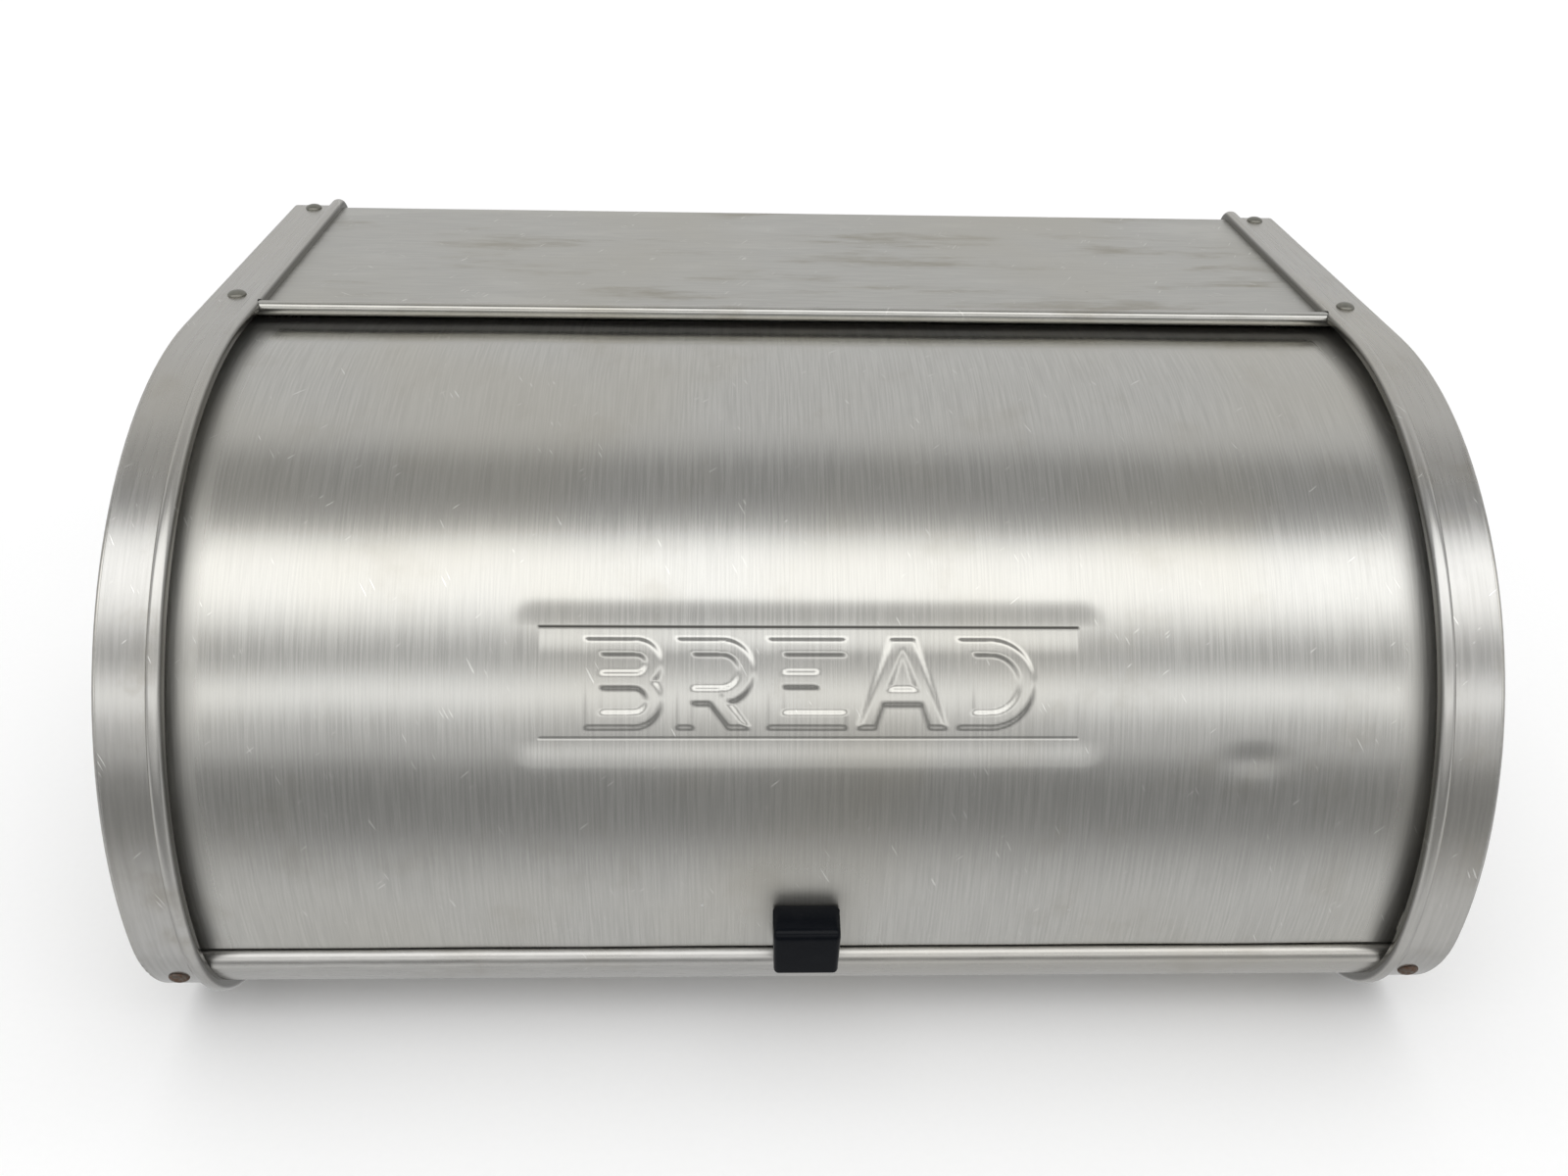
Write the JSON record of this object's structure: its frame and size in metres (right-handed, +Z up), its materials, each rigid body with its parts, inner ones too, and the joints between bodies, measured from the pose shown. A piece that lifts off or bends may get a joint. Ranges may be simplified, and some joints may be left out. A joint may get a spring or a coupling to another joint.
{
  "type": "roll-top bread box",
  "caption": "Steel countertop bread box with a quarter-round door that swings up under its deck on pivots in the end caps.",
  "frame": {"origin": "centre of the footprint, on the surface that the feet stand on", "axes": "+X along the box to the right as seen from the front, +Y towards its back, +Z up; the door is on the -Y side"},
  "size_m": [0.4244, 0.2896, 0.2016],
  "materials": {
    "cap_steel": "bright drawn steel, scratched and lightly stained",
    "deck_steel": "dull satin, smudged",
    "base_steel": "satin",
    "door_steel": "brushed round the curve, worn",
    "wing_steel": "mill finish",
    "rivet_steel": "semi-bright",
    "stained_rivet_steel": "brown with rust",
    "handle_plastic": "glossy black moulding",
    "bush_nylon": "natural nylon",
    "foot_rubber": "matte black"
  },
  "bodies": {
    "casing": {"base_panel": "base_steel", "front_left_foot": "foot_rubber", "front_right_foot": "foot_rubber", "left_back_rivets": "rivet_steel", "left_base_rivets": "stained_rivet_steel", "left_deck_rivets": "rivet_steel", "left_end_cap": "cap_steel", "left_pivot_bush": "bush_nylon", "left_pivot_rivet": "rivet_steel", "left_pivot_washer": "rivet_steel", "rear_left_foot": "foot_rubber", "rear_right_foot": "foot_rubber", "right_back_rivets": "rivet_steel", "right_base_rivets": "stained_rivet_steel", "right_deck_rivets": "rivet_steel", "right_end_cap": "cap_steel", "right_pivot_bush": "bush_nylon", "right_pivot_rivet": "rivet_steel", "right_pivot_washer": "rivet_steel", "seam_rivets": "rivet_steel", "top_back_panel": "deck_steel"},
    "door": {"door_handle": "handle_plastic", "door_sheet": "door_steel", "handle_screw": "rivet_steel", "handle_washer": "rivet_steel", "left_door_wing": "wing_steel", "right_door_wing": "wing_steel"}
  },
  "joints": [
    {"name": "door_swing", "type": "hinge", "parent": "casing", "child": "door", "pos_m": [0, 0.0012, 0.0585], "axis": [-1, 0, 0], "range_deg": [0, 90]}
  ]
}
